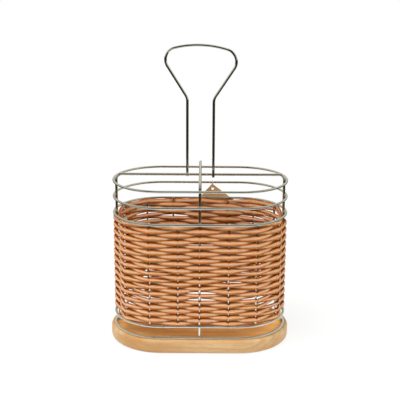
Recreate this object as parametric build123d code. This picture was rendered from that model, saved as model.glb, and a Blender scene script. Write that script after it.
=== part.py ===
from build123d import *
import math
import os

# A table-top spoon holder: an open basket of plated wire and woven plastic cane on a wooden base.
# Two wire arches cross above the mouth and part it into four, their legs run down inside the
# wire rings into sockets in the wood, and the carrying handle is welded to the longer arch.
# Millimetres. The origin is the middle of the underside, +X runs along the length, +Z is up
# and the front faces -Y.

# Wooden base
BASE_LENGTH = 177.0
BASE_WIDTH = 103.0
BASE_THICK = 14.0
BASE_TOP_ROUND = 3.0
BASE_FOOT_ROUND = 4.0
SOCKET_DEPTH = 8.0
SOCKET_CLEARANCE = 0.05

# Wire
RING_WIRE = 2.3
FRAME_WIRE = 2.5
HANDLE_WIRE = 2.5
STAKE_WIRE = 2.1
WELD_GAP = 0.03

# Rings: the inset is from the edge of the base to the middle of the wire. The lowest ring lies on
# the base, the weave's ring stands over the base, and each rise is from the wire below
RING_INSET = 4.5
WEAVE_RING_RISE = 12.9
RIM_RING_RISE = 102.6
MIDDLE_RING_RISE = 16.4
TOP_RING_RISE = 16.1

# Arches: the longer one rises over the top ring and passes under the shorter one
ARCH_RISE = 4.7
ARCH_BEND = 5.5

# Handle, measured on the middle of the wire, with heights from the longer arch
HANDLE_HEIGHT = 125.1
HANDLE_WIDTH = 68.2
HANDLE_CROWN_RADIUS = 96.0
HANDLE_CORNER_RADIUS = 11.6
HANDLE_NECK_HEIGHT = 74.5
HANDLE_NECK_RADIUS = 11.4
HANDLE_LEG_SPACING = 25.7
HANDLE_LEG_TAIL = 2.2

# Weave: the stakes between two legs are evenly spaced, but those at the front left were set
# nearer the middle. The strands climb on the right and at the back, after so many posts from the
# front leg and over so many posts
STAKES_PER_QUARTER = 3
FRONT_LEFT_SHIFT = 7.0
STRAND = 3.3
STRAND_BEND = 8.0
STRAND_GAP = 0.08
ROW_GAP = 0.12
LEAD_POSTS = 3
CLIMB_POSTS = 6

# Card tag, hung by one corner on the back of the middle ring
TAG_X = 12.5
TAG_LENGTH = 42.0
TAG_WIDTH = 38.0
TAG_THICK = 0.5
TAG_SLOPE = 39.0
TAG_HOLE = 3.0
TAG_HOLE_INSET = 4.0
TAG_CORNER_GAP = 0.5
TAG_REST_GAP = 0.6
TAG_LOOP_WIRE = 0.8
TAG_LOOP_GAP = 0.3
TAG_LOOP_SLACK = 0.1

# Where the pieces meet
ring_length = BASE_LENGTH - 2 * RING_INSET
ring_width = BASE_WIDTH - 2 * RING_INSET
end_radius = ring_width / 2
half_run = ring_length / 2 - end_radius
quarter = half_run + end_radius * math.pi / 2
bottom_level = BASE_THICK + WEAVE_RING_RISE
rim_level = bottom_level + RIM_RING_RISE
middle_level = rim_level + MIDDLE_RING_RISE
top_level = middle_level + TOP_RING_RISE
ring_levels = {
    "base_ring": BASE_THICK + RING_WIRE / 2 + WELD_GAP,
    "weave_bottom_ring": bottom_level,
    "weave_rim_ring": rim_level,
    "middle_guard_ring": middle_level,
    "top_guard_ring": top_level,
}
leg_inset = (RING_WIRE + FRAME_WIRE) / 2 + WELD_GAP
stake_inset = (RING_WIRE + STAKE_WIRE) / 2 + WELD_GAP
long_leg_x = ring_length / 2 - leg_inset
cross_leg_y = ring_width / 2 - leg_inset
leg_feet = {
    "right": (long_leg_x, 0),
    "left": (-long_leg_x, 0),
    "front": (0, -cross_leg_y),
    "rear": (0, cross_leg_y),
}
long_arch_z = top_level + ARCH_RISE
cross_arch_z = long_arch_z + FRAME_WIRE + WELD_GAP
socket_floor = BASE_THICK - SOCKET_DEPTH


def tube(path, diameter):
    """Round wire along a path."""
    start = Plane(origin=path @ 0, z_dir=path % 0)
    return sweep(start * Circle(diameter / 2), path=path)


def rounding(before, corner, after, radius):
    """How an arc rounds a corner: the unit directions back, ahead and inward, the arc's length
    along each run, and how far inside the corner it passes."""
    straight = 0.002
    back = (before - corner).normalized()
    ahead = (after - corner).normalized()
    if (back + ahead).length < straight:
        return back, ahead, Vector(0, 0, 0), 0, 0
    half_turn = (math.pi - math.radians(back.get_angle(ahead))) / 2
    inward = (back + ahead).normalized()
    return back, ahead, inward, radius * math.tan(half_turn), radius / math.cos(half_turn) - radius


def bent_path(points, radius):
    """Straight runs from point to point with a tangent arc at each point between."""
    points = [Vector(*point) for point in points]
    edges = []
    run_start = points[0]
    for before, corner, after in zip(points, points[1:], points[2:]):
        back, ahead, inward, setback, depth = rounding(before, corner, after, radius)
        if not setback:
            continue
        arc_start = corner + back * setback
        arc_end = corner + ahead * setback
        edges.append(Edge.make_line(run_start, arc_start))
        edges.append(Edge.make_three_point_arc(arc_start, corner + inward * depth, arc_end))
        run_start = arc_end
    edges.append(Edge.make_line(run_start, points[-1]))
    return Wire(edges)


def wooden_base():
    """Board with round ends and eased edges, bored for the four legs of the arches."""
    board = extrude(SlotOverall(BASE_LENGTH, BASE_WIDTH), BASE_THICK)
    board = fillet(board.edges().group_by(Axis.Z)[-1], BASE_TOP_ROUND)
    board = fillet(board.edges().group_by(Axis.Z)[0], BASE_FOOT_ROUND)
    bore = Cylinder(
        FRAME_WIRE / 2 + SOCKET_CLEARANCE,
        SOCKET_DEPTH,
        align=(Align.CENTER, Align.CENTER, Align.MIN),
    )
    for x, y in leg_feet.values():
        board -= Pos(x, y, socket_floor) * bore
    return board


def ring(level):
    """Closed wire ring with straight sides and half-round ends."""
    path = SlotOverall(ring_length, ring_width).face().outer_wire()
    return tube(path.moved(Location((0, 0, level))), RING_WIRE)


def arch(foot, height):
    """Wire bent over the basket from one socket to the opposite one, from a foot on the ground."""
    x, y = foot
    corners = [(x, y, socket_floor), (x, y, height), (-x, -y, height), (-x, -y, socket_floor)]
    return tube(bent_path(corners, ARCH_BEND), FRAME_WIRE)


def handle_loop():
    """Fan-shaped loop, turned a little because its legs stand on opposite sides of the arch."""
    leg_x = HANDLE_LEG_SPACING / 2
    crown_centre = Vector(0, 0, HANDLE_HEIGHT - HANDLE_CROWN_RADIUS)
    corner_x = HANDLE_WIDTH / 2 - HANDLE_CORNER_RADIUS
    reach = HANDLE_CROWN_RADIUS - HANDLE_CORNER_RADIUS
    corner = crown_centre + Vector(corner_x, 0, math.sqrt(reach**2 - corner_x**2))
    crown_end = corner + (corner - crown_centre).normalized() * HANDLE_CORNER_RADIUS

    # The side is the tangent from the neck to the outside of the corner's circle
    neck = Vector(leg_x, 0, HANDLE_NECK_HEIGHT)
    to_corner = corner - neck
    side_angle = math.degrees(math.asin(HANDLE_CORNER_RADIUS / to_corner.length))
    side_length = math.sqrt(to_corner.length**2 - HANDLE_CORNER_RADIUS**2)
    side = to_corner.normalized().rotate(Axis.Y, side_angle)
    side_top = neck + side * side_length

    half_turn = math.radians(side.get_angle(Vector(0, 0, 1))) / 2
    setback = HANDLE_NECK_RADIUS * math.tan(half_turn)
    leg_top = neck - Vector(0, 0, setback)
    side_foot = neck + side * setback
    inward = (side - Vector(0, 0, 1)).normalized()
    neck_middle = neck + inward * (HANDLE_NECK_RADIUS / math.cos(half_turn) - HANDLE_NECK_RADIUS)

    right = [
        Edge.make_line((leg_x, 0, -HANDLE_LEG_TAIL), leg_top),
        Edge.make_three_point_arc(leg_top, neck_middle, side_foot),
        Edge.make_line(side_foot, side_top),
        Edge.make_three_point_arc(
            side_top, corner + Vector(HANDLE_CORNER_RADIUS, 0, 0), crown_end
        ),
    ]
    left = [edge.mirror(Plane.YZ) for edge in reversed(right)]
    far_end = Vector(-crown_end.X, 0, crown_end.Z)
    crown = Edge.make_three_point_arc(crown_end, (0, 0, HANDLE_HEIGHT), far_end)
    leg_offset = (FRAME_WIRE + HANDLE_WIRE) / 2 + WELD_GAP
    turn = math.degrees(math.asin(leg_offset / leg_x))
    loop = tube(Wire(right + [crown] + left), HANDLE_WIRE)
    return Pos(0, 0, long_arch_z) * Rot(0, 0, -turn) * loop


def on_ring(station):
    """Point and outward direction on the rings, by the distance round from the front middle."""
    station %= 4 * quarter
    side = 1 if station < 2 * quarter else -1
    distance = station if side > 0 else station - 2 * quarter
    if distance < half_run:
        return Vector(side * distance, -side * end_radius), Vector(0, -side)
    if distance > 2 * quarter - half_run:
        return Vector(side * (2 * quarter - distance), side * end_radius), Vector(0, side)
    angle = (distance - half_run) / end_radius
    outward = Vector(side * math.sin(angle), -side * math.cos(angle))
    return Vector(side * half_run, 0) + outward * end_radius, outward


def weave_posts():
    """Every upright that the strands pass, counter-clockwise from the front leg:
    its middle, its outward direction and its wire."""
    per_quarter = STAKES_PER_QUARTER + 1
    posts = []
    for number in range(4 * per_quarter):
        station = number * quarter / per_quarter
        is_leg = number % per_quarter == 0
        if number > 3 * per_quarter:
            station += FRONT_LEFT_SHIFT
        point, outward = on_ring(station)
        inset = leg_inset if is_leg else stake_inset
        wire = FRAME_WIRE if is_leg else STAKE_WIRE
        posts.append((point - outward * inset, outward, wire))
    return posts


def stakes():
    """Straight wires welded inside the two rings that bound the weave, by name."""
    low = bottom_level - RING_WIRE / 2
    high = rim_level + RING_WIRE / 2
    per_quarter = STAKES_PER_QUARTER + 1
    corners = ("front_right", "rear_right", "rear_left", "front_left")
    made = {}
    for number, (middle, _, wire) in enumerate(weave_posts()):
        if number % per_quarter == 0:
            continue
        name = f"stake_{corners[number // per_quarter]}_{number % per_quarter}"
        rod = Cylinder(wire / 2, high - low, align=(Align.CENTER, Align.CENTER, Align.MIN))
        made[name] = Pos(middle.X, middle.Y, low) * rod
    return made


def row_at(number, post_count, first, last):
    """Row of a cane at a post, which climbs by two near the end of each turn. Where a cane begins or
    ends there is a row more or less, so the others spread to fill the wall from ring to ring."""
    turn, within = divmod(number - LEAD_POSTS, post_count)
    low = first + 2 * (turn - 1)
    spread = last / (last - 1)
    marks = [low, low * spread, low + 1, (low + 1) * spread, low + 2]
    place = min(within / CLIMB_POSTS, 1) * (len(marks) - 1)
    before = min(int(place), len(marks) - 2)
    row = marks[before] + (marks[before + 1] - marks[before]) * (place - before)
    return min(max(row, 0), last)


def strand(first_post, last_post, parity, first, last, first_level, pitch):
    """One cane, woven in and out of the posts from row to row.
    It passes outside the posts of its parity."""
    posts = weave_posts()
    through = []
    for number in range(first_post, last_post + 1):
        middle, outward, wire = posts[number % len(posts)]
        reach = (wire + STRAND) / 2 + STRAND_GAP
        side = 1 if number % 2 == parity else -1
        level = first_level + pitch * row_at(number, len(posts), first, last)
        through.append(middle + outward * (side * reach) + Vector(0, 0, level))

    # An arc passes inside its corner, so the corners move out, level, until each arc meets its point
    passes = 12
    corners = list(through)
    for _ in range(passes):
        trios = zip(corners, corners[1:], corners[2:])
        arcs = [rounding(*trio, STRAND_BEND) for trio in trios]
        inner = [
            point - Vector(inward.X, inward.Y, 0) * depth
            for point, (_, _, inward, _, depth) in zip(through[1:], arcs)
        ]
        corners = [through[0], *inner, through[-1]]
    return tube(bent_path(corners, STRAND_BEND), STRAND)


def weave():
    """Two canes that chase each other up the wall, the lower one outside the odd posts."""
    seat = (RING_WIRE + STRAND) / 2 + STRAND_GAP
    first_level = bottom_level + seat
    climb = rim_level - seat - first_level
    turns = int(climb / (STRAND + ROW_GAP) / 2)
    last = 2 * turns
    pitch = climb / last
    count = 4 * (STAKES_PER_QUARTER + 1)
    lower_start = LEAD_POSTS + CLIMB_POSTS // 2
    upper_start = LEAD_POSTS + CLIMB_POSTS
    lower_end = lower_start + count * (turns + 1)
    upper_end = LEAD_POSTS + count * turns
    return {
        "weave_strand_lower": strand(lower_start, lower_end, 1, 0, last, first_level, pitch),
        "weave_strand_upper": strand(upper_start, upper_end, 0, 1, last, first_level, pitch),
    }


def tag():
    """Card tag and its loop, drawn flat with the ring's middle as origin and then leant back
    until the card clears the weave."""
    slope = math.radians(TAG_SLOPE)
    hole_rise = TAG_HOLE_INSET * (math.sin(slope) + math.cos(slope))
    hole_drop = RING_WIRE / 2 + TAG_CORNER_GAP + hole_rise
    outline = Rectangle(TAG_LENGTH, TAG_WIDTH, align=(Align.MIN, Align.MAX))
    hole = Pos(TAG_HOLE_INSET, -TAG_HOLE_INSET) * Circle(TAG_HOLE / 2)
    flat = Pos(-TAG_HOLE_INSET, TAG_HOLE_INSET) * (outline - hole)
    card = extrude(Plane.XZ * Rot(0, 0, -TAG_SLOPE) * flat, TAG_THICK / 2, both=True)
    card = Pos(0, 0, -hole_drop) * card

    loop_radius = (RING_WIRE + TAG_LOOP_WIRE) / 2 + TAG_LOOP_GAP
    loop_foot = hole_drop - (TAG_HOLE - TAG_LOOP_WIRE) / 2 + TAG_LOOP_SLACK
    outline = SlotOverall(loop_foot + loop_radius, 2 * loop_radius, rotation=90)
    path = (Plane.YZ * Pos(0, (loop_radius - loop_foot) / 2) * outline).face().outer_wire()
    loop = tube(path, TAG_LOOP_WIRE)

    weave_face = max(STAKE_WIRE / 2 + STRAND_GAP + STRAND - stake_inset, RING_WIRE / 2)
    drop = MIDDLE_RING_RISE + RING_WIRE / 2
    lean = math.degrees(math.atan((weave_face + TAG_REST_GAP + TAG_THICK / 2) / drop))
    place = Pos(TAG_X, ring_width / 2, middle_level) * Rot(lean, 0, 0)
    return {"tag_card": place * card, "tag_loop": place * loop}


nodes = {"wooden_base": wooden_base()}
nodes.update({name: ring(level) for name, level in ring_levels.items()})
nodes["long_arch_wire"] = arch(leg_feet["right"], long_arch_z)
nodes["cross_arch_wire"] = arch(leg_feet["rear"], cross_arch_z)
nodes["handle_loop"] = handle_loop()
nodes.update(stakes())
nodes.update(weave())
nodes.update(tag())

os.makedirs("parts", exist_ok=True)
for name, piece in nodes.items():
    export_step(piece, f"parts/{name}.step")
    print(name, round(piece.volume, 1))
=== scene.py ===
# %% [markdown]
# # A spoon holder of plated wire, woven cane and beech
# The CAD frame already holds the real thing at its real size: a beech base, five wire rings, two
# arches, a handle, twelve stakes, two woven strands and a card tag. Nothing here moves or resizes
# them. This lesson adds what solids can't have: finishes, the fuller form of soft cane, the beads of
# metal at the welds, and the small studio in which the holder is seen.

# %% Load the frame
import math

import bpy
from mathutils import Matrix, Vector


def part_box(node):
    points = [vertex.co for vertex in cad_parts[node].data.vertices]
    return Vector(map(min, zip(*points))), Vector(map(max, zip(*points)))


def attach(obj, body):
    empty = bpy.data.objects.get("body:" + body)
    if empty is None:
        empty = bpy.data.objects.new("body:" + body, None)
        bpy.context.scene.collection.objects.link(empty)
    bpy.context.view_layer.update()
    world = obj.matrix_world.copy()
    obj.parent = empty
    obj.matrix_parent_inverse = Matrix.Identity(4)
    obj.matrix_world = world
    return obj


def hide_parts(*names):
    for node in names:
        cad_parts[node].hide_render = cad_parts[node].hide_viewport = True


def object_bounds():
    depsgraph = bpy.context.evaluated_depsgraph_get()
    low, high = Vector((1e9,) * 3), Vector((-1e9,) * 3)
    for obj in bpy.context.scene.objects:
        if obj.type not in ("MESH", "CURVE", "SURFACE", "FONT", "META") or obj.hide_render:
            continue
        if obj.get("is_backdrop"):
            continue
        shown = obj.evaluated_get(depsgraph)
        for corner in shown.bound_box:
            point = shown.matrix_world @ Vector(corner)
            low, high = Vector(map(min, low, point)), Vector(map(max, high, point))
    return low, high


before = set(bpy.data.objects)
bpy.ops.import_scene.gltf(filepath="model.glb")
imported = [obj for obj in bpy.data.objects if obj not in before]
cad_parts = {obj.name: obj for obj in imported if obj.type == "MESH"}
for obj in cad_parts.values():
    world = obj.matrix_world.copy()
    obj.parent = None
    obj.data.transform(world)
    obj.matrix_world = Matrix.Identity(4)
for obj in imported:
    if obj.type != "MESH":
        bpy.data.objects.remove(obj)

MM = 0.001
cad_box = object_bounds()

# %% [markdown]
# A few helpers serve the whole lesson. Colours are written as sRGB hex values, as a paint chart has
# them, and shaders want linear light, so one function converts them. Shader trees and geometry trees
# are both made of nodes with settings and inputs, so one function adds any node of either.

# %% Helpers: colours and nodes
def linear(paint):
    """Linear RGBA of an sRGB colour written as #rrggbb."""
    parts = [int(paint[i : i + 2], 16) / 255 for i in (1, 3, 5)]
    return [p / 12.92 if p <= 0.04045 else ((p + 0.055) / 1.055) ** 2.4 for p in parts] + [1.0]


def feed(tree, node, inputs):
    """Set a node's inputs to values, or link them to the sockets that feed them."""
    for key, value in inputs.items():
        if isinstance(value, bpy.types.NodeSocket):
            tree.links.new(value, node.inputs[key])
        else:
            node.inputs[key].default_value = value


def add(tree, kind, inputs=None, **settings):
    """A new node of a tree, with its settings and its inputs."""
    node = tree.nodes.new(kind)
    for name, value in settings.items():
        setattr(node, name, value)
    feed(tree, node, inputs or {})
    return node


print("pale beech in linear light:", [round(c, 3) for c in linear("#ceb184")])

# %% [markdown]
# The camera comes first, because every later choice is judged through it. The photograph was taken
# from about a metre away with a long lens, a little above the rim, so the rings look like flat ovals.
# Their ovals, the base and the handle fix the distance, the tilt and the focal length. A tiny turn
# and roll remain, since nobody sets a tripod perfectly.

# %% Camera
CAMERA_DISTANCE = 1000 * MM
CAMERA_PITCH = math.radians(16.37)
CAMERA_TURN = math.radians(0.3)
CAMERA_ROLL = math.radians(0.25)
CAMERA_AIM = Vector((-0.15, 0, 140.71)) * MM
FOCAL_PIXELS = 1023.4
PICTURE_PIXELS = 400
SENSOR = 36.0

turn = Matrix.Rotation(CAMERA_TURN, 3, "Z")
right = turn @ Vector((1, 0, 0))
ahead = turn @ Vector((0, math.cos(CAMERA_PITCH), -math.sin(CAMERA_PITCH)))
up = right.cross(ahead)
rolled_right = right * math.cos(CAMERA_ROLL) + up * math.sin(CAMERA_ROLL)
rolled_up = up * math.cos(CAMERA_ROLL) - right * math.sin(CAMERA_ROLL)
camera_data = bpy.data.cameras.new("photo camera")
camera_data.sensor_fit = "HORIZONTAL"
camera_data.sensor_width = SENSOR
camera_data.lens = FOCAL_PIXELS / PICTURE_PIXELS * SENSOR
camera = bpy.data.objects.new("photo camera", camera_data)
axes = Matrix((rolled_right, rolled_up, -ahead)).transposed()
stand = turn @ CAMERA_AIM - ahead * CAMERA_DISTANCE
camera.matrix_world = Matrix.Translation(stand) @ axes.to_4x4()
bpy.context.scene.collection.objects.link(camera)
bpy.context.scene.camera = camera
print("camera:", round(camera_data.lens, 1), "mm lens at", [round(c, 3) for c in stand])

# %% [markdown]
# ## The studio
# The holder stands on a wide sheet of white card. Bright wire shows its surroundings more than itself,
# so what lies round the holder matters. For what mirrors it, the card is painted white for some way
# round the holder, then a grey-green strip, which is narrower to the sides, and dark beyond: a painted
# reflection, since the camera sees the sheet plain white. One flat rectangle is enough for all of it,
# because its zones are drawn by distance.

# %% Floor sheet
SHEET_HALF_WIDTH = 430 * MM
SHEET_FRONT = -500 * MM
SHEET_BACK = 900 * MM

floor_mesh = bpy.data.meshes.new("white sheet")
corners = [
    (-SHEET_HALF_WIDTH, SHEET_FRONT, 0), (SHEET_HALF_WIDTH, SHEET_FRONT, 0),
    (SHEET_HALF_WIDTH, SHEET_BACK, 0), (-SHEET_HALF_WIDTH, SHEET_BACK, 0),
]
floor_mesh.from_pydata(corners, [], [(0, 1, 2, 3)])
floor = bpy.data.objects.new("white_sheet", floor_mesh)
bpy.context.scene.collection.objects.link(floor)
floor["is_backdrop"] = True
print("sheet:", round(2 * SHEET_HALF_WIDTH / MM), "mm wide")

# %% Finish: white card, with zones painted only for what mirrors it
WHITE_REACH = 220 * MM
WHITE_NARROWER = 1.0
STRIP_REACH = 385 * MM
STRIP_NARROWER = 2.2
ZONE_FADE = 50 * MM

paper = bpy.data.materials.new("white card, uncoated")
paper.use_nodes = True
tree = paper.node_tree
tree.nodes.clear()
place = add(tree, "ShaderNodeTexCoord").outputs["Object"]
# Behind the holder only the distance to the side counts, so there the zones run straight back
to_front = add(
    tree, "ShaderNodeVectorMath", {0: place, 1: (SHEET_BACK, 0, 0)}, operation="MINIMUM"
).outputs[0]
paint = linear("#ffffff")
# Painted reflection: zones seen only in mirrors, white, then a grey-green strip, then dark
for edge, narrower, darker in (
    (WHITE_REACH, WHITE_NARROWER, "#cbe0d5"), (STRIP_REACH, STRIP_NARROWER, "#2b2a20")
):
    oval = add(
        tree, "ShaderNodeVectorMath", {0: to_front, 1: (narrower, 1, 1)}, operation="MULTIPLY"
    ).outputs[0]
    distance = add(tree, "ShaderNodeVectorMath", {0: oval}, operation="LENGTH").outputs["Value"]
    passed = add(
        tree, "ShaderNodeMapRange",
        {"Value": distance, "From Min": edge, "From Max": edge + ZONE_FADE},
        interpolation_type="SMOOTHSTEP",
    ).outputs["Result"]
    paint = add(
        tree, "ShaderNodeMix", {"Factor": passed, "A": paint, "B": linear(darker)}, data_type="RGBA"
    ).outputs[2]
print(paper.name, "is white up to", round(WHITE_REACH / MM), "mm from the middle")

# %% [markdown]
# To the camera the sheet is plain white, and it still has to keep a shadow, or the holder would
# float. A glowing sheet has no shadow and a matt one is never quite white, so both are mixed: near
# the holder a share of matt card lets a faint shadow through, and further out the glow takes over.

# %% The sheet's shadow
SHADOW_FULL = 145 * MM
SHADOW_END = 275 * MM
SHADOW_SHARE = 0.16

reach = add(tree, "ShaderNodeVectorMath", {0: place}, operation="LENGTH").outputs["Value"]
glowing = add(
    tree, "ShaderNodeMapRange",
    {"Value": reach, "From Min": SHADOW_FULL, "From Max": SHADOW_END,
     "To Min": 1 - SHADOW_SHARE, "To Max": 1.0},
    interpolation_type="SMOOTHSTEP",
).outputs["Result"]
ray = add(tree, "ShaderNodeLightPath").outputs
seen = add(
    tree, "ShaderNodeMath", {0: ray["Is Camera Ray"], 1: glowing}, operation="MULTIPLY"
).outputs[0]
mirrored = add(
    tree, "ShaderNodeMath",
    {0: ray["Is Glossy Ray"], 1: ray["Is Transmission Ray"]}, operation="MAXIMUM",
).outputs[0]
share = add(tree, "ShaderNodeMath", {0: seen, 1: mirrored}, operation="MAXIMUM").outputs[0]
# Mirrors see the painted zones, the camera sees plain white
shown = add(
    tree, "ShaderNodeMix",
    {"Factor": ray["Is Glossy Ray"], "A": linear("#ffffff"), "B": paint}, data_type="RGBA",
).outputs[2]
matt = add(tree, "ShaderNodeBsdfDiffuse", {"Color": linear("#f4f4f2")}).outputs[0]
glow = add(tree, "ShaderNodeEmission", {"Color": shown, "Strength": 1.0}).outputs[0]
mixed = add(tree, "ShaderNodeMixShader", {0: share, 1: matt, 2: glow}).outputs[0]
add(tree, "ShaderNodeOutputMaterial", {"Surface": mixed})
floor_mesh.materials.append(paper)
print(paper.name, "shows", SHADOW_SHARE, "of its shadow")

# %% [markdown]
# Round the sheet is a plain room. Its backdrop and sides are pale, a white box hangs overhead and
# the room on the camera's side is dim, which is why the high upright wires look dark while the rings'
# ends and the low stakes shine. A world shader draws the room by direction: each zone begins and is
# full at some share of the way towards an axis. It gives one picture to what mirrors it, an even
# light to what is matt, and plain white to the camera.

# %% The room as wire mirrors it
BACKDROP = (0.10, 0.50)
SIDES = (0.45, 0.75)
WALL_FOOT = (-0.04, 0.04)
WHITE_BOX = (0.80, 1.0)

world = bpy.data.worlds.new("studio")
world.use_nodes = True
tree = world.node_tree
tree.nodes.clear()
direction = add(tree, "ShaderNodeTexCoord").outputs["Generated"]
toward = add(tree, "ShaderNodeSeparateXYZ", {0: direction}).outputs
sideways = add(tree, "ShaderNodeMath", {0: toward["X"]}, operation="ABSOLUTE").outputs[0]
behind, beside, above, overhead = [
    add(
        tree, "ShaderNodeMapRange", {"Value": value, "From Min": start, "From Max": full},
        interpolation_type="SMOOTHSTEP",
    ).outputs["Result"]
    for value, (start, full) in (
        (toward["Y"], BACKDROP), (sideways, SIDES),
        (toward["Z"], WALL_FOOT), (toward["Z"], WHITE_BOX),
    )
]
around = add(tree, "ShaderNodeMath", {0: behind, 1: beside}, operation="MAXIMUM").outputs[0]
pale = add(tree, "ShaderNodeMath", {0: around, 1: above}, operation="MULTIPLY").outputs[0]
room = linear("#2b2a20")
for zone, colour in ((pale, "#cac9bc"), (overhead, "#dededa")):
    room = add(
        tree, "ShaderNodeMix", {"Factor": zone, "A": room, "B": linear(colour)}, data_type="RGBA"
    ).outputs[2]
print(world.name, "room has", len(tree.nodes), "nodes")

# %% The room as light, and as a white background
WALLS_BEHIND = 0.24
WALLS_IN_FRONT = 0.40
WALLS_BLEND = 0.4

strength = add(
    tree, "ShaderNodeMapRange",
    {"Value": toward["Y"], "From Min": -WALLS_BLEND, "From Max": WALLS_BLEND,
     "To Min": WALLS_IN_FRONT, "To Max": WALLS_BEHIND},
).outputs["Result"]
walls, picture, white = [
    add(tree, "ShaderNodeBackground", {"Color": colour, "Strength": power}).outputs[0]
    for colour, power in ((linear("#fdfbf7"), strength), (room, 1.0), (linear("#ffffff"), 1.0))
]
ray = add(tree, "ShaderNodeLightPath").outputs
clear = add(
    tree, "ShaderNodeMath",
    {0: ray["Is Camera Ray"], 1: ray["Is Transmission Ray"]}, operation="MAXIMUM",
).outputs[0]
lit = add(tree, "ShaderNodeMixShader", {0: ray["Is Glossy Ray"], 1: walls, 2: picture}).outputs[0]
sky = add(tree, "ShaderNodeMixShader", {0: clear, 1: lit, 2: white}).outputs[0]
add(tree, "ShaderNodeOutputWorld", {"Surface": sky})
bpy.context.scene.world = world
bpy.context.scene.view_settings.view_transform = "Standard"
print("walls light the holder with", WALLS_IN_FRONT, "in front and", WALLS_BEHIND, "behind")

# %% [markdown]
# Three soft boxes give the light its direction: a broad one above, a little to the left, and a
# smaller one at each side. They are square area lamps aimed at the holder's middle. The world already
# draws what wire mirrors of the room, so the boxes themselves stay out of it.

# %% Soft boxes
for name, place, size, watts in (
    ("top box", (-0.25, -0.30, 1.30), 0.7, 16.0),
    ("left box", (-0.85, -0.35, 0.60), 0.5, 4.8),
    ("right box", (0.85, -0.35, 0.60), 0.5, 5.2),
):
    lamp = bpy.data.lights.new(name, "AREA")
    lamp.size = size
    lamp.energy = watts
    box = bpy.data.objects.new(name, lamp)
    box.visible_glossy = False
    to_holder = CAMERA_AIM - Vector(place)
    aimed = to_holder.to_track_quat("-Z", "Y").to_matrix().to_4x4()
    box.matrix_world = Matrix.Translation(place) @ aimed
    bpy.context.scene.collection.objects.link(box)
    print(name, "of", watts, "W,", round(to_holder.length, 2), "m away")

# %% [markdown]
# ## Plated wire
# The rings, arches, handle and stakes are drawn steel wire, welded and then barrel plated with
# bright nickel and chrome. A metal has no diffuse colour, only a tinted mirror, so the base colour is
# the plating's slightly green grey. Plating is not a perfect mirror: it is a little uneven from place
# to place, which a slow noise in the roughness gives. The rings were rolled round a former and tumbled
# first, which leaves their plating satin, so they get the same finish with more roughness.

# %% Finish: plated steel wire
PLATING_PATCH = 6.0 * MM
BRIGHT = (0.06, 0.16)
SATIN = (0.24, 0.34)


def new_finish(name):
    """An empty material, its tree and its shader."""
    finish = bpy.data.materials.new(name)
    finish.use_nodes = True
    tree = finish.node_tree
    tree.nodes.clear()
    shader = add(tree, "ShaderNodeBsdfPrincipled")
    add(tree, "ShaderNodeOutputMaterial", {"Surface": shader.outputs["BSDF"]})
    return finish, tree, shader


def plating(name, roughness):
    """Chrome on steel, with the least and the greatest roughness of its patches."""
    finish, tree, shader = new_finish(name)
    place = add(tree, "ShaderNodeTexCoord").outputs["Object"]
    patches = add(
        tree, "ShaderNodeTexNoise", {"Vector": place, "Scale": 1 / PLATING_PATCH, "Detail": 3.0}
    ).outputs["Fac"]
    gloss = add(
        tree, "ShaderNodeMapRange",
        {"Value": patches, "To Min": roughness[0], "To Max": roughness[1]},
    ).outputs["Result"]
    tint = add(
        tree, "ShaderNodeMix", {"Factor": patches, "A": linear("#e6e8de"), "B": linear("#f3f4ee")},
        data_type="RGBA",
    ).outputs[2]
    feed(tree, shader, {"Base Color": tint, "Roughness": gloss, "Metallic": 1.0})
    return finish


plated_wire = plating("steel wire, nickel and chrome plated", BRIGHT)
ring_wire = plating("steel wire, rolled, tumbled and chrome plated", SATIN)
print(plated_wire.name, "and", ring_wire.name)

# %% [markdown]
# ## Beech
# The base is one board of beech, sawn with the grain along its length, its edges rounded and the
# whole sealed with a thin satin varnish. Beech is pale and even: soft growth bands a few millimetres
# apart and countless short brown flecks, the rays. Both are cut through by the surface, so they are
# made in space, the bands as shells round a far heart of the tree, and the end grain comes out by
# itself. Every pattern is longer along the grain than across it, so all start as stretched noise.

# %% Finish: the grain of beech
# Length along the grain, width across it and fineness of each pattern. Real rays are finer than a
# point of the picture, so the flecks are drawn several times as coarse to show
GRAIN = {
    "wander": (125 * MM, 33.333 * MM, 2.0),
    "cloud": (100 * MM, 22.222 * MM, 3.0),
    "fleck": (9.9 * MM, 1.1 * MM, 2.0),
    # The painted amber bounce light inside the wires has a grain of its own
    "painted_amber": (83.333 * MM, 4.5455 * MM, 3.0),
}

beech, tree, shader = new_finish("beech, sanded and varnished")
place = add(tree, "ShaderNodeTexCoord").outputs["Object"]
grain = {}
for name, (long, across, detail) in GRAIN.items():
    stretched = add(
        tree, "ShaderNodeMapping", {"Vector": place, "Scale": (1 / long, 1 / across, 1 / across)}
    ).outputs[0]
    grain[name] = add(
        tree, "ShaderNodeTexNoise", {"Vector": stretched, "Scale": 1.0, "Detail": detail}
    ).outputs
print(beech.name, "has the patterns", sorted(grain))

# %% Growth bands, rays and clouds
BAND = 5.0 * MM
BAND_WANDERS = 2.2 * BAND
LATE_WOOD_POWER = 2.5
BAND_SHARE = 0.6
FLECK_FROM = 0.54
FLECK_FULL = 0.70
FLECK_SHARE = 0.45
HEART = Vector((0, 30, -60)) * MM
# Nearly all of a noise lies in this span, which is drawn out to the full range
NOISE_SPAN = {"From Min": 0.3, "From Max": 0.7}

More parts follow.
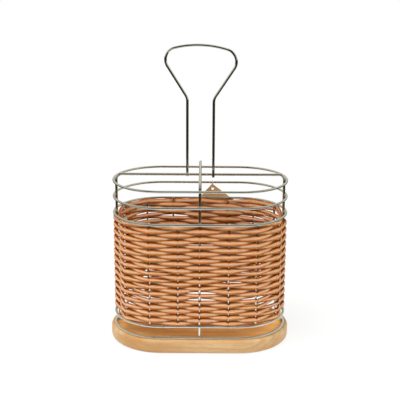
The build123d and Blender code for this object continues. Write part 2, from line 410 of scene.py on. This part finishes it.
bent = add(
    tree, "ShaderNodeVectorMath",
    {0: grain["wander"]["Color"], 1: (0, BAND_WANDERS, BAND_WANDERS)}, operation="MULTIPLY",
).outputs[0]
from_heart = place
for operation, by in (("ADD", bent), ("SUBTRACT", HEART), ("MULTIPLY", (0, 1, 1))):
    from_heart = add(
        tree, "ShaderNodeVectorMath", {0: from_heart, 1: by}, operation=operation
    ).outputs[0]
shell = add(tree, "ShaderNodeVectorMath", {0: from_heart}, operation="LENGTH").outputs["Value"]
ring = add(tree, "ShaderNodeMath", {0: shell, 1: 1 / BAND}, operation="MULTIPLY").outputs[0]
year = add(tree, "ShaderNodeMath", {0: ring}, operation="FRACT").outputs[0]
late = add(tree, "ShaderNodeMath", {0: year, 1: LATE_WOOD_POWER}, operation="POWER").outputs[0]
bands = add(tree, "ShaderNodeMath", {0: late, 1: BAND_SHARE}, operation="MULTIPLY").outputs[0]
rays = add(
    tree, "ShaderNodeMapRange",
    {"Value": grain["fleck"]["Fac"], "From Min": FLECK_FROM, "From Max": FLECK_FULL},
).outputs["Result"]
flecks = add(tree, "ShaderNodeMath", {0: rays, 1: FLECK_SHARE}, operation="MULTIPLY").outputs[0]
clouds = add(
    tree, "ShaderNodeMapRange", {"Value": grain["cloud"]["Fac"], **NOISE_SPAN}
).outputs["Result"]
wood = linear("#af8450")
for layer, colour in ((clouds, "#ceb184"), (bands, "#b27a42"), (flecks, "#a86f3a")):
    wood = add(
        tree, "ShaderNodeMix", {"Factor": layer, "A": wood, "B": linear(colour)}, data_type="RGBA"
    ).outputs[2]
print("growth bands", round(BAND / MM, 1), "mm apart")

# %% [markdown]
# Inside the wires the upper face lies in the shade of the basket, where light reaches it only past the
# orange cane, so a deep amber with a fine grain of its own is painted there as warm bounce light. At
# the rear, where light falls in over the front wall, less of this painted amber is laid, so the wood
# goes back towards plain beech. The border follows the lowest ring. A ring with round ends is all the
# points at one distance from a straight spine, so the painted amber needs only that distance and the
# ring's box from the frame.

# %% Painted amber bounce light inside the wires
PAINTED_AMBER_FADE = 3.0 * MM
PAINTED_AMBER_FULL = 0.95
LIT_REAR_FROM = 5 * MM
LIT_REAR_FULL = 30 * MM
LIT_REAR_SHARE = 0.7

ring_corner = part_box("base_ring")[1]
ring_run = ring_corner.x - ring_corner.y
spot = add(tree, "ShaderNodeSeparateXYZ", {0: place}).outputs
on_spine = add(
    tree, "ShaderNodeClamp", {"Value": spot["X"], "Min": -ring_run, "Max": ring_run}
).outputs[0]
past_spine = add(
    tree, "ShaderNodeMath", {0: spot["X"], 1: on_spine}, operation="SUBTRACT"
).outputs[0]
off_spine = add(tree, "ShaderNodeCombineXYZ", {"X": past_spine, "Y": spot["Y"]}).outputs[0]
from_spine = add(tree, "ShaderNodeVectorMath", {0: off_spine}, operation="LENGTH").outputs["Value"]
# Painted bounce light: full inside the lowest ring, and less at the rear where light falls in directly
inside, shaded_front = [
    add(
        tree, "ShaderNodeMapRange",
        {"Value": value, "From Min": start, "From Max": end, "To Min": first, "To Max": last},
        interpolation_type="SMOOTHSTEP",
    ).outputs["Result"]
    for value, start, end, first, last in (
        (from_spine, ring_corner.y - PAINTED_AMBER_FADE, ring_corner.y, PAINTED_AMBER_FULL, 0.0),
        (spot["Y"], LIT_REAR_FROM, LIT_REAR_FULL, 1.0, 1 - LIT_REAR_SHARE),
    )
]
painted_amber = add(tree, "ShaderNodeMath", {0: inside, 1: shaded_front}, operation="MULTIPLY").outputs[0]
amber_tone = add(
    tree, "ShaderNodeMapRange", {"Value": grain["painted_amber"]["Fac"], **NOISE_SPAN}
).outputs["Result"]
# The amber is painted warm bounce light from the cane, not a colour of the wood
amber = add(
    tree, "ShaderNodeMix", {"Factor": amber_tone, "A": linear("#f4a44a"), "B": linear("#ffc97c")},
    data_type="RGBA",
).outputs[2]
bounce_painted = add(
    tree, "ShaderNodeMix", {"Factor": painted_amber, "A": wood, "B": amber}, data_type="RGBA"
).outputs[2]
relief = add(
    tree, "ShaderNodeBump", {"Height": rays, "Strength": 0.15, "Distance": 0.1 * MM}, invert=True
).outputs[0]
feed(tree, shader, {"Base Color": bounce_painted, "Normal": relief, "Roughness": 0.46, "IOR": 1.48})
print(beech.name, "is stained within", round(ring_corner.y / MM, 1), "mm of the spine")

# %% [markdown]
# ## Plastic cane
# The strands are extruded polyethylene made to look like cane: tan, satin, with fine lengthwise streaks
# from the die. A streak follows its strand round the basket, so it can't be drawn in fixed axes. Each
# strand carries two attributes of its own, how far along it a point is and where in the section it
# sits, and a four-dimensional noise over those two gives streaks without a seam. A paler band a little
# above the middle of the face is a painted highlight, where light from above falls, and the upper and
# lower edges are painted dark red brown as shade in the crevices between the rows, which sets each row
# off from the next. Light sinks a little way into the plastic, so the narrow places between the rows
# glow a warm red brown instead of going grey.

# %% Finish: extruded cane, its streaks and its slow drift
STREAK = 0.55 * MM
STREAK_LENGTH = 45 * MM
DRIFT_LENGTH = 71.43 * MM
DRIFT_SHARE = 0.4

cane, tree, shader = new_finish("polyethylene cane, extruded")
along = add(tree, "ShaderNodeAttribute", attribute_name="cane_along").outputs["Fac"]
section = add(tree, "ShaderNodeAttribute", attribute_name="cane_section").outputs["Vector"]
slow = add(
    tree, "ShaderNodeMath", {0: along, 1: STREAK / STREAK_LENGTH}, operation="MULTIPLY"
).outputs[0]
streaks = add(
    tree, "ShaderNodeTexNoise",
    {"Vector": section, "W": slow, "Scale": 1 / STREAK, "Detail": 2.0}, noise_dimensions="4D",
).outputs["Fac"]
wavering = add(
    tree, "ShaderNodeTexNoise", {"W": along, "Scale": 1 / DRIFT_LENGTH, "Detail": 3.0},
    noise_dimensions="1D",
).outputs["Fac"]
drift = add(
    tree, "ShaderNodeMapRange",
    {"Value": wavering, "From Min": 0.35, "From Max": 0.75, "To Max": DRIFT_SHARE},
).outputs["Result"]
print(cane.name, "has streaks", round(STREAK / MM, 2), "mm wide")

# %% The cane's painted highlight, its painted crevice shade and its glow
HIGHLIGHT_HEIGHT = 0.35 * MM
HIGHLIGHT_WIDTH = 1.1 * MM
HIGHLIGHT_SHARE = 0.55
CREVICE_SHADE_FROM = 1.2 * MM
CREVICE_SHADE_FULL = 1.7 * MM
CREVICE_SHADE_SHARE = 0.92
GLOW_DEPTH = 1.2 * MM
GLOW_REACH = (1.0, 0.3, 0.1)

height = add(tree, "ShaderNodeSeparateXYZ", {0: section}).outputs["Z"]
from_highlight = add(
    tree, "ShaderNodeMath", {0: height, 1: HIGHLIGHT_HEIGHT}, operation="SUBTRACT"
).outputs[0]
off_highlight = add(tree, "ShaderNodeMath", {0: from_highlight}, operation="ABSOLUTE").outputs[0]
off_face = add(tree, "ShaderNodeMath", {0: height}, operation="ABSOLUTE").outputs[0]
# A paler band a little above the middle of the face is a painted highlight, and the dark upper and
# lower edges are painted shade in the crevices between rows
painted_highlight, painted_crevice_shade = [
    add(
        tree, "ShaderNodeMapRange",
        {"Value": value, "From Min": start, "From Max": end, "To Min": first, "To Max": last},
        interpolation_type="SMOOTHSTEP",
    ).outputs["Result"]
    for value, start, end, first, last in (
        (off_highlight, 0.0, HIGHLIGHT_WIDTH, HIGHLIGHT_SHARE, 0.0),
        (off_face, CREVICE_SHADE_FROM, CREVICE_SHADE_FULL, 0.0, CREVICE_SHADE_SHARE),
    )
]
tan = linear("#a04b0c")
for layer, colour in (
    (streaks, "#cf873a"), (drift, "#b2601d"), (painted_highlight, "#daccb1"), (painted_crevice_shade, "#5c1c02")
):
    tan = add(
        tree, "ShaderNodeMix", {"Factor": layer, "A": tan, "B": linear(colour)}, data_type="RGBA"
    ).outputs[2]
relief = add(
    tree, "ShaderNodeBump", {"Height": streaks, "Strength": 0.25, "Distance": 0.08 * MM}
).outputs[0]
feed(tree, shader, {
    "Base Color": tan, "Normal": relief, "Roughness": 0.40, "IOR": 1.51, "Specular IOR Level": 0.1,
    "Subsurface Weight": 0.3, "Subsurface Radius": GLOW_REACH, "Subsurface Scale": GLOW_DEPTH,
})
print(cane.name, "lets light in", round(GLOW_DEPTH / MM, 1), "mm deep")

# %% [markdown]
# ## Kraft card and clear nylon
# The blank tag is unbleached kraft card, brown pulp with darker and lighter fibres pressed flat. It
# hangs from a loop of clear nylon line. The fibres are short and lie every way, so a stretched noise
# at two angles is enough for them. Real ones are as fine as hairs, so they are drawn coarser to show.

# %% Finishes: kraft card and clear nylon
FIBRE = 0.5 * MM
FIBRE_STRETCH = 4
FIBRE_ANGLES = (20, 105)
HAZE = 2 * MM

kraft, tree, shader = new_finish("kraft card, unbleached")
place = add(tree, "ShaderNodeTexCoord").outputs["Object"]
fibres = []
for angle in FIBRE_ANGLES:
    laid = add(
        tree, "ShaderNodeMapping",
        {"Vector": place, "Rotation": (0, math.radians(angle), 0), "Scale": (1 / FIBRE_STRETCH, 1, 1)},
    ).outputs[0]
    fibres.append(
        add(
            tree, "ShaderNodeTexNoise", {"Vector": laid, "Scale": 1 / FIBRE, "Detail": 2.0}
        ).outputs["Fac"]
    )
felted = add(tree, "ShaderNodeMath", {0: fibres[0], 1: fibres[1]}, operation="MULTIPLY").outputs[0]
pulp = add(
    tree, "ShaderNodeMapRange", {"Value": felted, "From Min": 0.12, "From Max": 0.40}
).outputs["Result"]
brown = add(
    tree, "ShaderNodeMix", {"Factor": pulp, "A": linear("#c4955f"), "B": linear("#e6c08e")},
    data_type="RGBA",
).outputs[2]
relief = add(
    tree, "ShaderNodeBump", {"Height": pulp, "Strength": 0.2, "Distance": 0.05 * MM}
).outputs[0]
feed(tree, shader, {"Base Color": brown, "Normal": relief, "Roughness": 0.85})

nylon, tree, shader = new_finish("nylon line, clear, drawn")
place = add(tree, "ShaderNodeTexCoord").outputs["Object"]
haze = add(tree, "ShaderNodeTexNoise", {"Vector": place, "Scale": 1 / HAZE}).outputs["Fac"]
cloudy = add(
    tree, "ShaderNodeMapRange", {"Value": haze, "To Min": 0.12, "To Max": 0.30}
).outputs["Result"]
feed(tree, shader, {
    "Base Color": linear("#f2f2ee"), "Roughness": cloudy, "Transmission Weight": 0.85, "IOR": 1.53,
})
print(kraft.name, "and", nylon.name)

# %% [markdown]
# Now every CAD node gets its finish. The shapes are right already, so only the material slot of each
# mesh is filled, chosen by the node's name: what isn't wood, card, line, cane or a ring is bright wire.

# %% Dress the CAD nodes
FINISHES = {"wooden_base": beech, "tag_card": kraft, "tag_loop": nylon}

dressed = {}
for name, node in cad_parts.items():
    finish = FINISHES.get(name, plated_wire)
    if name.startswith("weave_strand"):
        finish = cane
    elif name.endswith("_ring"):
        finish = ring_wire
    node.data.materials.clear()
    node.data.materials.append(finish)
    dressed[finish.name] = dressed.get(finish.name, 0) + 1
print("dressed:", dressed)

# %% [markdown]
# ## The weave
# Two strands chase each other up the wall: one passes outside the odd posts, the other outside the
# even ones, and both climb two rows a turn on the right and at the back. The CAD strands are round
# and even. Real cane is soft: it is pinched where it bends over a post, swells just beside it and is
# squeezed where two strands cross, no two rows are quite alike, and in loose places daylight shows
# between them. The posts and rows are read from the frame, so the strands lie where the CAD strands
# are.

# %% Posts, in order round the basket
CANE_THICK = 3.3 * MM

ring_low, ring_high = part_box("weave_rim_ring")
half_run = ((ring_high.x - ring_low.x) - (ring_high.y - ring_low.y)) / 2
uprights = []
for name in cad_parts:
    if name.startswith("stake"):
        low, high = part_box(name)
        uprights.append(((low + high) / 2, high.x - low.x))
long_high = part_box("long_arch_wire")[1]
cross_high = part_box("cross_arch_wire")[1]
leg_wire = 2 * long_high.y
for side in (-1, 1):
    uprights.append((Vector((side * (long_high.x - leg_wire / 2), 0, 0)), leg_wire))
    uprights.append((Vector((0, side * (cross_high.y - leg_wire / 2), 0)), leg_wire))

posts = []
for middle, wire in uprights:
    spine = Vector((max(-half_run, min(half_run, middle.x)), 0, 0))
    flat_middle = Vector((middle.x, middle.y, 0))
    posts.append((flat_middle, (flat_middle - spine).normalized(), wire))
posts.sort(key=lambda post: round(math.atan2(post[0].x, -post[0].y), 6) % (2 * math.pi))
post_count = len(posts)
print(post_count, "posts, the first at", [round(c / MM, 1) for c in posts[0][0]])

# %% Rows, from ring to ring
TURNS = 14
LEAD_POSTS = 3
CLIMB_POSTS = 6

strand_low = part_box("weave_strand_lower")[0].z + CANE_THICK / 2
strand_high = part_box("weave_strand_lower")[1].z - CANE_THICK / 2
last_row = 2 * TURNS
pitch = (strand_high - strand_low) / last_row


def row_at(number, first):
    """Row of a strand at a post, which climbs by two near the end of each turn. Where a strand begins
    or ends there is a row more or less, so the others spread to fill the wall."""
    turn, within = divmod(number - LEAD_POSTS, post_count)
    low = first + 2 * (turn - 1)
    spread = last_row / (last_row - 1)
    marks = [low, low * spread, low + 1, (low + 1) * spread, low + 2]
    place = min(within / CLIMB_POSTS, 1) * (len(marks) - 1)
    before = min(int(place), len(marks) - 2)
    row = marks[before] + (marks[before + 1] - marks[before]) * (place - before)
    return min(max(row, 0), last_row)


print("rows", round(pitch / MM, 2), "mm apart")

# %% [markdown]
# Handwork is uneven, and short formulas give that. The rows wave a little and sag in the middle of
# the front. Low down in front the cane is drawn tighter round the posts, so more of each post shows
# there as a bright dot. In a list of loose places the cane is not as tall, and rows stand apart.

# %% Loose places
LOOSE_FADE = 4.5 * MM
# The post, counted from the front leg, how many posts the place reaches to each side, from and up to
# which height in millimetres, and the share of its height that the cane lacks there
LOOSE_PLACES = [
    (0, 0.4, 110, 110, 0.24), (0.05, 0.45, 55, 67, 0.32), (0.9, 0.5, 70, 77, 0.3),
    (1.7, 0.33, 77, 96, 0.45), (2.1, 0.48, 48, 55, 0.33), (2.9, 0.6, 39, 46, 0.36),
    (12.9, 0.5, 46, 60, 0.18), (13.3, 0.3, 84, 121, 0.16), (13.7, 0.35, 57, 67, 0.4),
    (14.25, 0.35, 76, 84, 0.5),
    (4.7, 0.6, 119, 123, 0.3), (5.6, 0.6, 107, 116, 0.32), (6.1, 0.35, 46, 66, 0.5),
    (7, 0.6, 36, 43, 0.45), (7.8, 0.6, 33, 33, 0.45), (8, 0.6, 80, 80, 0.45),
    (9.1, 0.6, 109, 116, 0.28), (9.75, 0.35, 44, 51, 0.6), (10.3, 0.35, 28, 37, 0.55),
    (10.3, 0.6, 106, 120, 0.3), (10.8, 0.35, 61, 102, 0.36), (11.2, 0.5, 35, 41, 0.45),
]


def posts_past(number, post):
    """How many posts a place is past a post, or before it if negative, the short way round."""
    half = post_count / 2
    return (number - post + half) % post_count - half


def looseness(number, height):
    """The share of its height that the cane lacks at a place on the wall."""
    most = 0
    for post, reach, low, high, share in LOOSE_PLACES:
        across = posts_past(number, post) / reach
        past = max(low * MM - height, height - high * MM, 0) / LOOSE_FADE
        most = max(most, share * math.exp(-(across**2) - past**2))
    return most


print(len(LOOSE_PLACES), "loose places")

# %% Rows that wave and sag, and rows drawn tight
SWAY = 0.16 * MM
# How many waves go round the wall, the rise over which they shift by a radian, and their strength
WAVES = [(3, 13 * MM, 1.0), (8, -7 * MM, 0.7)]
STILL_ROWS = 6
SAG = 1.8 * MM
SAG_POST = 0.4
SAG_REACH_POSTS = 2.2
DRAWN_BELOW = 58 * MM
DRAWN_END = 78 * MM
DRAWN_POST = 0.1
DRAWN_REACH_POSTS = 2.6


def sway(number, height):
    """The slow unevenness of the rows and their sag in front, which both die out at the rings."""
    angle = 2 * math.pi * number / post_count
    from_ring = min(height - strand_low, strand_high - height) / (STILL_ROWS * pitch)
    wave = sum(share * math.sin(count * angle + height / rise) for count, rise, share in WAVES)
    across = posts_past(number, SAG_POST) / SAG_REACH_POSTS
    return min(max(from_ring, 0), 1) * (SWAY * wave - SAG * math.exp(-(across**2)))


def drawn(number, height):
    """How far a strand is drawn tight round a post low down in front, from 0 to 1."""
    across = posts_past(number, DRAWN_POST) / DRAWN_REACH_POSTS
    fall = (DRAWN_END - height) / (DRAWN_END - DRAWN_BELOW)
    return min(max(fall, 0), 1) * math.exp(-(across**4))


middle_height = (strand_low + strand_high) / 2
print("half-way up, the front sags", round(-sway(0, middle_height) / MM, 2), "mm")

# %% [markdown]
# At a post four things are settled: on which side the cane passes, how tall and thin it is there,
# how much it swells beside the post, and how high it lies. The pass on the far side of a post hangs a
# little lower than the near one, so that the rows close, but in a loose place it rides up and lets
# light through. The topmost row tucks up under the rim.

# %% How a strand passes a post
TALL_AT_POST = 4.5 * MM
TALL_BESIDE = 5.9 * MM
THIN_AT_POST = 2.3 * MM
TAIL_TALL = 1.4 * MM
TAIL_THIN = 1.8 * MM
CANE_GAP = 0.08 * MM
UNEVEN = 0.04
UNEVEN_STEP = 2.3
DRAWN_SHARE = 0.42
FAR_DROP = 1.2 * MM
FAR_DROP_UNTIL = 0.25
RIDE_UP = 2.5 * MM
FAR_FROM = 0.1
TOP_TUCK = 1.1 * MM
TUCK_OUTSIDE = 0.3


def passing(number, row, side, is_tail):
    """How a strand passes one post, on its outside for side 1 and its inside for -1: the post's place
    and outward direction, the cane's offset from it, its height there and just beside it, its
    thickness, and its looseness half-way to the next post."""
    middle, outward, wire = posts[number % post_count]
    level = strand_low + pitch * row
    loose = looseness(number, level)
    full = 1 + UNEVEN * math.sin(UNEVEN_STEP * number) - loose
    lack = DRAWN_SHARE * drawn(number, level) if side > 0 else 0
    tall, beside, thin = TALL_AT_POST * (full - lack), TALL_BESIDE * full, THIN_AT_POST
    if is_tail:
        tall, beside, thin = TAIL_TALL, TAIL_TALL, TAIL_THIN
    far = side * outward.y
    drop = FAR_DROP * max(far, 0) * max(1 - loose / FAR_DROP_UNTIL, 0)
    ride = RIDE_UP * loose if far > FAR_FROM else 0
    tuck = TOP_TUCK * max(0, 1 - (last_row - row)) * (TUCK_OUTSIDE if side > 0 else 1)
    rise = Vector((0, 0, level + sway(number, level) + tuck + ride - drop))
    offset = outward * side * ((wire + thin) / 2 + CANE_GAP) + rise
    return middle, outward, offset, tall, beside, thin, looseness(number + 0.5, level)


print("cane is", round(TALL_BESIDE / TALL_AT_POST, 2), "times as tall beside a post as on it")

# %% [markdown]
# Between two posts the strand changes sides, and half-way it crosses the other one. Points at each
# post, just beside it and at each crossing are enough for a smooth line. Stiff cane does not run
# straight across a bend of the wall, so between posts it springs half-way out to the curve.

# %% Where each strand runs
TALL_AT_CROSSING = 4.3 * MM
THIN_AT_CROSSING = 2.7 * MM
BESIDE = 0.1


def strand_line(first_post, last_post, parity, first_row, tails):
    """Points along one strand, with how tall and how thin the cane is there. A tail is shaved thin
    and tucked inside one more post."""
    passes = []
    for number in range(first_post - tails, last_post + tails + 1):
        is_tail = number < first_post or number > last_post
        row = row_at(min(max(number, first_post), last_post), first_row)
        side = 1 if number % 2 == parity and not is_tail else -1
        passes.append(passing(number, row, side, is_tail))

    steps = []
    for here, ahead in zip(passes, passes[1:]):
        middle, outward, offset, tall, beside, thin, slack = here
        next_middle, next_outward, next_offset, _, next_beside, next_thin, _ = ahead
        chord = (next_middle + next_offset - middle - offset).length
        bulge = chord / 4 * math.tan(outward.angle(next_outward) / 4)
        spring = (outward + next_outward).normalized() * bulge
        crossing = min(TALL_AT_CROSSING * (1 - slack), (beside + next_beside) / 2)
        for part, high, deep in (
            (0, tall, thin), (BESIDE, beside, thin), (0.5, crossing, THIN_AT_CROSSING),
            (1 - BESIDE, next_beside, next_thin),
        ):
            across = (1 - math.cos(math.pi * part)) / 2
            place = middle.lerp(next_middle, part) + offset.lerp(next_offset, across)
            steps.append((place + spring * math.sin(math.pi * part), high, deep))
    middle, _, offset, tall, _, thin, _ = passes[-1]
    return steps + [(middle + offset, tall, thin)]


strands = {
    "cane_strand_lower": strand_line(
        first_post=6, last_post=6 + post_count * (TURNS + 1), parity=1, first_row=0, tails=1
    ),
    "cane_strand_upper": strand_line(
        first_post=9, last_post=LEAD_POSTS + post_count * TURNS, parity=0, first_row=1, tails=0
    ),
}
for name, line in strands.items():
    print(name, "passes", len(line) // 4 + 1, "posts")

# %% [markdown]
# A curve with a bevel would give a tube of one section. A Geometry Nodes tree does more: it rounds
# the line, sweeps a circle along it, brings each section to the cane's height and thickness at that
# place, and keeps the two attributes that the streaks follow. The tree's sizes are its named inputs.

# %% Helpers: geometry trees
def new_tree(name, inputs):
    """A geometry tree with named inputs and one geometry output."""
    tree = bpy.data.node_groups.new(name, "GeometryNodeTree")
    for label, kind in {"Geometry": "NodeSocketGeometry", **inputs}.items():
        tree.interface.new_socket(label, in_out="INPUT", socket_type=kind)
    tree.interface.new_socket("Geometry", in_out="OUTPUT", socket_type="NodeSocketGeometry")
    return tree, add(tree, "NodeGroupInput").outputs


def grow(name, mesh, tree, values):
    """The plain mesh that a tree makes of a guide mesh, as an object at the origin."""
    piece = bpy.data.objects.new(name, mesh)
    bpy.context.scene.collection.objects.link(piece)
    modifier = piece.modifiers.new(tree.name, "NODES")
    modifier.node_group = tree
    for item in tree.interface.items_tree:
        if item.in_out == "INPUT" and item.name in values:
            modifier[item.identifier] = values[item.name]
    graph = bpy.context.evaluated_depsgraph_get()
    made = bpy.data.meshes.new_from_object(
        piece.evaluated_get(graph), preserve_all_data_layers=True, depsgraph=graph
    )
    piece.modifiers.clear()
    piece.data = made
    made.name = name
    bpy.data.meshes.remove(mesh)
    return piece


strand_tree, given = new_tree(
    "cane strand",
    {"Thickness": "NodeSocketFloat", "Steps": "NodeSocketInt", "Sides": "NodeSocketInt",
     "Finish": "NodeSocketMaterial"},
)
print(strand_tree.name, "tree takes", [socket.name for socket in given if socket.name])

# %% Geometry Nodes: sweep the cane along its line
tree = strand_tree
guide_line = add(tree, "GeometryNodeMeshToCurve", {"Mesh": given["Geometry"]}).outputs[0]
smooth = add(
    tree, "GeometryNodeCurveSplineType", {"Curve": guide_line}, spline_type="CATMULL_ROM"
).outputs[0]
fine = add(
    tree, "GeometryNodeSetSplineResolution", {"Geometry": smooth, "Resolution": given["Steps"]}
).outputs[0]
stepped = add(tree, "GeometryNodeResampleCurve", {"Curve": fine}, mode="EVALUATED").outputs[0]
kept = add(tree, "GeometryNodeCaptureAttribute", domain="POINT")
kept.capture_items.new("VECTOR", "middle")
kept.capture_items.new("FLOAT", "distance")
feed(tree, kept, {
    "Geometry": stepped,
    "middle": add(tree, "GeometryNodeInputPosition").outputs[0],
    "distance": add(tree, "GeometryNodeSplineParameter").outputs["Length"],
})
radius = add(
    tree, "ShaderNodeMath", {0: given["Thickness"], 1: 0.5}, operation="MULTIPLY"
).outputs[0]
circle = add(
    tree, "GeometryNodeCurvePrimitiveCircle", {"Resolution": given["Sides"], "Radius": radius}
).outputs["Curve"]
swept = add(
    tree, "GeometryNodeCurveToMesh",
    {"Curve": kept.outputs["Geometry"], "Profile Curve": circle, "Fill Caps": True},
).outputs["Mesh"]
offset = add(
    tree, "ShaderNodeVectorMath",
    {0: add(tree, "GeometryNodeInputPosition").outputs[0], 1: kept.outputs["middle"]},
    operation="SUBTRACT",
).outputs[0]
print(strand_tree.name, "tree has", len(strand_tree.nodes), "nodes for the sweep")

# %% Geometry Nodes: bring each section to its size
tall, thin = [
    add(tree, "GeometryNodeInputNamedAttribute", {"Name": name}, data_type="FLOAT").outputs[0]
    for name in ("tall", "thin")
]
size_there = add(tree, "ShaderNodeCombineXYZ", {"X": thin, "Y": thin, "Z": tall}).outputs[0]
share = add(
    tree, "ShaderNodeVectorMath", {0: size_there, 1: given["Thickness"]}, operation="DIVIDE"
).outputs[0]
growth = add(
    tree, "ShaderNodeVectorMath", {0: share, 1: (1, 1, 1)}, operation="SUBTRACT"
).outputs[0]
lift = add(tree, "ShaderNodeVectorMath", {0: offset, 1: growth}, operation="MULTIPLY").outputs[0]
strand = swept
for name, value, kind in (
    ("cane_section", offset, "FLOAT_VECTOR"), ("cane_along", kept.outputs["distance"], "FLOAT")
):
    strand = add(
        tree, "GeometryNodeStoreNamedAttribute", {"Geometry": strand, "Name": name, "Value": value},
        data_type=kind, domain="POINT",
    ).outputs[0]
swollen = add(tree, "GeometryNodeSetPosition", {"Geometry": strand, "Offset": lift}).outputs[0]
shaded = add(tree, "GeometryNodeSetShadeSmooth", {"Geometry": swollen}).outputs[0]
real = add(tree, "GeometryNodeRealizeInstances", {"Geometry": shaded}).outputs[0]
coated = add(
    tree, "GeometryNodeSetMaterial", {"Geometry": real, "Material": given["Finish"]}
).outputs[0]
add(tree, "NodeGroupOutput", {"Geometry": coated})
print(strand_tree.name, "tree has", len(strand_tree.nodes), "nodes")

# %% Weave the strands
STRAND_STEPS = 4
STRAND_SIDES = 12

for name, line in strands.items():
    guide = bpy.data.meshes.new(name + "_line")
    places, talls, thins = zip(*line)
    guide.from_pydata(places, [(i, i + 1) for i in range(len(line) - 1)], [])
    guide.attributes.new("tall", "FLOAT", "POINT").data.foreach_set("value", talls)
    guide.attributes.new("thin", "FLOAT", "POINT").data.foreach_set("value", thins)
    strand = grow(
        name, guide, strand_tree,
        {"Thickness": CANE_THICK, "Steps": STRAND_STEPS, "Sides": STRAND_SIDES, "Finish": cane},
    )
    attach(strand, "holder")
    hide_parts(name.replace("cane_", "weave_"))
    print(name, len(strand.data.polygons), "faces")

# %% [markdown]
# ## Welds
# Where two wires cross, a resistance welder has pressed them together and a little metal has flowed
# into the corner. Each joint is one point with a bead on it, so the beads are instances of one small
# ball on those points, each turned and sized a little differently by a fixed seed, and flattened
# where the electrode pressed. The points come from the frame's own boxes: each upright at each ring,
# the handle's feet on the longer arch, and the crossing of the arches.

# %% Where the welds are
WOVEN_RINGS = ("weave_bottom_ring", "weave_rim_ring")
RINGS = ("base_ring", *WOVEN_RINGS, "middle_guard_ring", "top_guard_ring")
LEG_EVERY = 4
HANDLE_FEET_APART = 25.7 * MM

# Stakes end at the two rings of the weave, while every fourth post is a leg that meets all the rings
welds = []
for name in RINGS:
    low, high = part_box(name)
    for number, (middle, outward, wire) in enumerate(posts):
        if number % LEG_EVERY == 0 or name in WOVEN_RINGS:
            welds.append(middle + outward * (wire / 2) + Vector((0, 0, (low.z + high.z) / 2)))
arch_top = long_high.z
welds.append(Vector((0, 0, arch_top)))
# The handle's feet lie on opposite sides of the longer arch, so its plane is turned a little
handle_turn = math.asin(2 * leg_wire / HANDLE_FEET_APART)
for side in (-1, 1):
    foot = side * HANDLE_FEET_APART / 2 * math.cos(handle_turn)
    welds.append(Vector((foot, -side * leg_wire / 2, arch_top - leg_wire / 2)))
print(len(welds), "welds")

# %% Geometry Nodes: weld beads
BEAD_TURN = (0.3, 0.3, 2 * math.pi)
BEAD_LEAST = (0.9, 0.8, 0.75)
BEAD_MOST = (1.1, 1.0, 0.95)

bead_tree, given = new_tree(
    "weld beads",
    {"Bead": "NodeSocketFloat", "Seed": "NodeSocketInt", "Finish": "NodeSocketMaterial"},
)
tree = bead_tree
points = add(tree, "GeometryNodeMeshToPoints", {"Mesh": given["Geometry"]}).outputs[0]
ball = add(
    tree, "GeometryNodeMeshIcoSphere", {"Radius": given["Bead"], "Subdivisions": 3}
).outputs["Mesh"]
turned, sized = [
    add(
        tree, "FunctionNodeRandomValue", {0: least, 1: most, "Seed": given["Seed"]},
        data_type="FLOAT_VECTOR",
    ).outputs["Value"]
    for least, most in (((0, 0, 0), BEAD_TURN), (BEAD_LEAST, BEAD_MOST))
]
beads = add(
    tree, "GeometryNodeInstanceOnPoints",
    {"Points": points, "Instance": ball, "Rotation": turned, "Scale": sized},
).outputs[0]
real = add(tree, "GeometryNodeRealizeInstances", {"Geometry": beads}).outputs[0]
shaded = add(tree, "GeometryNodeSetShadeSmooth", {"Geometry": real}).outputs[0]
coated = add(
    tree, "GeometryNodeSetMaterial", {"Geometry": shaded, "Material": given["Finish"]}
).outputs[0]
add(tree, "NodeGroupOutput", {"Geometry": coated})
print(bead_tree.name, "tree has", len(bead_tree.nodes), "nodes")

# %% Weld the wires
BEAD = 1.15 * MM
BEAD_SEED = 7

guide = bpy.data.meshes.new("weld_points")
guide.from_pydata(welds, [], [])
weld_beads = grow(
    "weld_beads", guide, bead_tree, {"Bead": BEAD, "Seed": BEAD_SEED, "Finish": plated_wire}
)
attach(weld_beads, "holder")
print(weld_beads.name, len(weld_beads.data.polygons), "faces")

# %% [markdown]
# Last, the boxes of the CAD model and of the dressed model are printed side by side, to show that
# dressing the holder hasn't made it larger.

# %% Sizes
boxes = {"cad": cad_box, "visual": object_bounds()}
for key, (low, high) in boxes.items():
    print(key, "box:", [round(side / MM, 1) for side in high - low], "mm")
